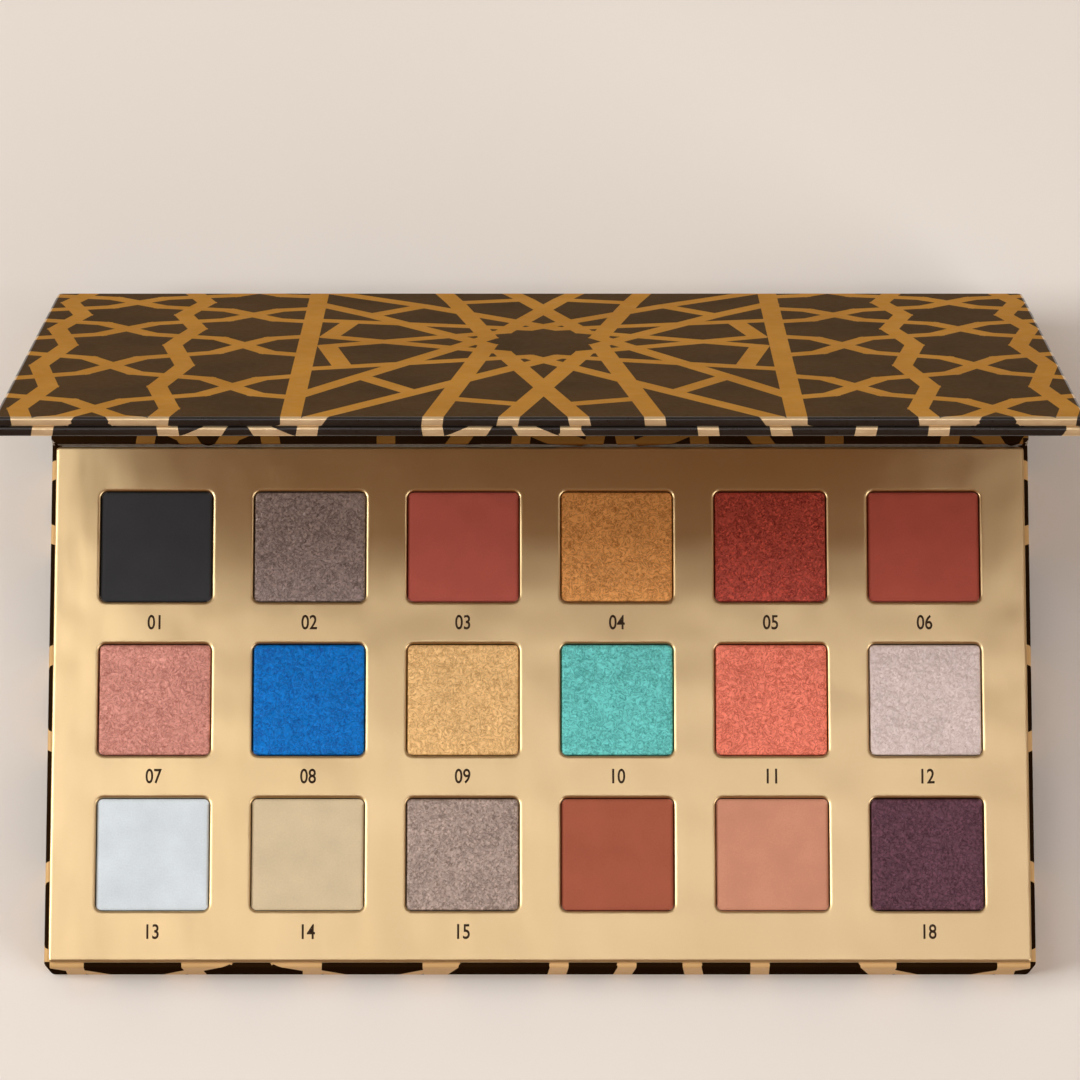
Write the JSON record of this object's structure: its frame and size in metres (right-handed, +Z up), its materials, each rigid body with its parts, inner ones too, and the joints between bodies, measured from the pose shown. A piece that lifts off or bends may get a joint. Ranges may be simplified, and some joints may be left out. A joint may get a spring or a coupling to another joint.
{
  "type": "eyeshadow palette",
  "caption": "Hinged eyeshadow palette: a rigid case in printed paper with a grid of square powder pans set in a gold card, and a mirror framed inside the lid.",
  "frame": {"origin": "centre of the base's underside, on the surface that it stands on", "axes": "+X along the hinge to the user's right, +Y from the front edge to the hinge at the back, +Z up"},
  "size_m": [0.205, 0.1419, 0.1479],
  "materials": {
    "printed_paper": "satin",
    "black_paper": "matte",
    "greyboard": "matte",
    "foam": "matte",
    "gold_card": "satin",
    "tin": "satin",
    "steel": "satin",
    "glue": "satin",
    "mirror_glass": "polished",
    "powder_charcoal": "matte",
    "powder_taupe_shimmer": "satin",
    "powder_red_brown": "matte",
    "powder_bronze_shimmer": "satin",
    "powder_crimson_shimmer": "satin",
    "powder_brick": "matte",
    "powder_rose_shimmer": "satin",
    "powder_royal_blue_shimmer": "satin",
    "powder_gold_shimmer": "satin",
    "powder_turquoise_shimmer": "satin",
    "powder_coral_shimmer": "satin",
    "powder_lilac_shimmer": "satin",
    "powder_ice_white": "matte",
    "powder_beige": "matte",
    "powder_mauve_shimmer": "satin",
    "powder_terracotta": "matte",
    "powder_salmon": "matte",
    "powder_plum_shimmer": "satin"
  },
  "bodies": {
    "base": {"bottom_liner": "black_paper", "bottom_board": "greyboard", "front_wall": "greyboard", "back_wall": "greyboard", "left_wall": "greyboard", "right_wall": "greyboard", "base_wrap": "printed_paper", "cross_wall": "greyboard", "foam_bed": "foam", "rear_filler": "foam", "gold_card": "gold_card", "pan_glue": "glue", "base_magnets": "steel", "ledge_board": "greyboard", "ledge_wrap": "printed_paper", "hinge_strip": "printed_paper", "pan_01": "tin", "pan_02": "tin", "pan_03": "tin", "pan_04": "tin", "pan_05": "tin", "pan_06": "tin", "pan_07": "tin", "pan_08": "tin", "pan_09": "tin", "pan_10": "tin", "pan_11": "tin", "pan_12": "tin", "pan_13": "tin", "pan_14": "tin", "pan_15": "tin", "pan_16": "tin", "pan_17": "tin", "pan_18": "tin", "powder_01": "powder_charcoal", "powder_02": "powder_taupe_shimmer", "powder_03": "powder_red_brown", "powder_04": "powder_bronze_shimmer", "powder_05": "powder_crimson_shimmer", "powder_06": "powder_brick", "powder_07": "powder_rose_shimmer", "powder_08": "powder_royal_blue_shimmer", "powder_09": "powder_gold_shimmer", "powder_10": "powder_turquoise_shimmer", "powder_11": "powder_coral_shimmer", "powder_12": "powder_lilac_shimmer", "powder_13": "powder_ice_white", "powder_14": "powder_beige", "powder_15": "powder_mauve_shimmer", "powder_16": "powder_terracotta", "powder_17": "powder_salmon", "powder_18": "powder_plum_shimmer"},
    "lid": {"lid_outer_board": "greyboard", "lid_outer_wrap": "printed_paper", "lid_inner_frame": "greyboard", "lid_inner_wrap": "printed_paper", "mirror": "mirror_glass", "mirror_tape": "glue", "lid_magnets": "steel"}
  },
  "joints": [
    {"name": "lid_hinge", "type": "hinge", "parent": "base", "child": "lid", "pos_m": [0, 0.07005, 0.01785], "axis": [-1, 0, 0], "range_deg": [-67.5, 112.5]}
  ]
}
